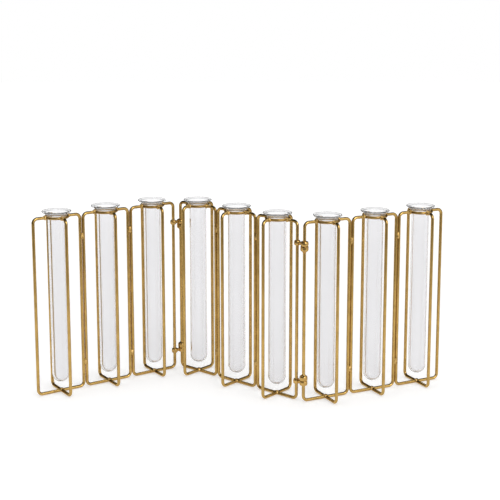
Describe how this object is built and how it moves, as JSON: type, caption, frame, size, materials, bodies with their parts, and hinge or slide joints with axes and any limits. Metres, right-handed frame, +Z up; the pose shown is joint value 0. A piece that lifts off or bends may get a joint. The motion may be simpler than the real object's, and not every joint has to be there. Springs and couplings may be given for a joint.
{
  "type": "multi-tube vase",
  "caption": "Folding wire vase: a zigzag row of hinged cages of bent brass wire, each with a flared glass test tube hanging in its ring for a single stem.",
  "frame": {"origin": "middle of the footprint of the unfolded zigzag, on the surface that the vase stands on", "axes": "+X along the row, from the left panel to the right panel; +Y to the back, away from the viewer; +Z up, along the tubes"},
  "size_m": [0.4562, 0.1376, 0.2082],
  "materials": {
    "frame_wire": "satin antique brass",
    "joint_metal": "satin antique brass, a little brighter",
    "glass": "clear, smooth"
  },
  "bodies": {
    "middle_panel": {"cage_4_long_wire": "frame_wire", "cage_4_cross_wire": "frame_wire", "cage_4_ring": "frame_wire", "cage_5_long_wire": "frame_wire", "cage_5_cross_wire": "frame_wire", "cage_5_ring": "frame_wire", "cage_6_long_wire": "frame_wire", "cage_6_cross_wire": "frame_wire", "cage_6_ring": "frame_wire", "middle_panel_welds": "joint_metal", "left_hinge_top_collar": "joint_metal", "right_hinge_top_link": "joint_metal", "left_hinge_bottom_collar": "joint_metal", "right_hinge_bottom_link": "joint_metal"},
    "left_panel": {"cage_1_long_wire": "frame_wire", "cage_1_cross_wire": "frame_wire", "cage_1_ring": "frame_wire", "cage_2_long_wire": "frame_wire", "cage_2_cross_wire": "frame_wire", "cage_2_ring": "frame_wire", "cage_3_long_wire": "frame_wire", "cage_3_cross_wire": "frame_wire", "cage_3_ring": "frame_wire", "left_panel_welds": "joint_metal", "left_hinge_top_link": "joint_metal", "left_hinge_bottom_link": "joint_metal"},
    "right_panel": {"cage_7_long_wire": "frame_wire", "cage_7_cross_wire": "frame_wire", "cage_7_ring": "frame_wire", "cage_8_long_wire": "frame_wire", "cage_8_cross_wire": "frame_wire", "cage_8_ring": "frame_wire", "cage_9_long_wire": "frame_wire", "cage_9_cross_wire": "frame_wire", "cage_9_ring": "frame_wire", "right_panel_welds": "joint_metal", "right_hinge_top_collar": "joint_metal", "right_hinge_bottom_collar": "joint_metal"},
    "tube_1": {"glass_tube_1": "glass"},
    "tube_2": {"glass_tube_2": "glass"},
    "tube_3": {"glass_tube_3": "glass"},
    "tube_4": {"glass_tube_4": "glass"},
    "tube_5": {"glass_tube_5": "glass"},
    "tube_6": {"glass_tube_6": "glass"},
    "tube_7": {"glass_tube_7": "glass"},
    "tube_8": {"glass_tube_8": "glass"},
    "tube_9": {"glass_tube_9": "glass"}
  },
  "joints": [
    {"name": "left_hinge", "type": "hinge", "parent": "middle_panel", "child": "left_panel", "pos_m": [-0.07218, 0.06431, 0.1], "axis": [0, 0, 1], "range_deg": [-170, 20]},
    {"name": "right_hinge", "type": "hinge", "parent": "middle_panel", "child": "right_panel", "pos_m": [0.06819, -0.05772, 0.1], "axis": [0, 0, 1], "range_deg": [-162, 28]},
    {"name": "tube_1_lift", "type": "slide", "parent": "left_panel", "child": "tube_1", "axis": [0, 0, 1], "range_m": [0, 0.2]},
    {"name": "tube_2_lift", "type": "slide", "parent": "left_panel", "child": "tube_2", "axis": [0, 0, 1], "range_m": [0, 0.2]},
    {"name": "tube_3_lift", "type": "slide", "parent": "left_panel", "child": "tube_3", "axis": [0, 0, 1], "range_m": [0, 0.2]},
    {"name": "tube_4_lift", "type": "slide", "parent": "middle_panel", "child": "tube_4", "axis": [0, 0, 1], "range_m": [0, 0.2]},
    {"name": "tube_5_lift", "type": "slide", "parent": "middle_panel", "child": "tube_5", "axis": [0, 0, 1], "range_m": [0, 0.2]},
    {"name": "tube_6_lift", "type": "slide", "parent": "middle_panel", "child": "tube_6", "axis": [0, 0, 1], "range_m": [0, 0.2]},
    {"name": "tube_7_lift", "type": "slide", "parent": "right_panel", "child": "tube_7", "axis": [0, 0, 1], "range_m": [0, 0.2]},
    {"name": "tube_8_lift", "type": "slide", "parent": "right_panel", "child": "tube_8", "axis": [0, 0, 1], "range_m": [0, 0.2]},
    {"name": "tube_9_lift", "type": "slide", "parent": "right_panel", "child": "tube_9", "axis": [0, 0, 1], "range_m": [0, 0.2]}
  ]
}
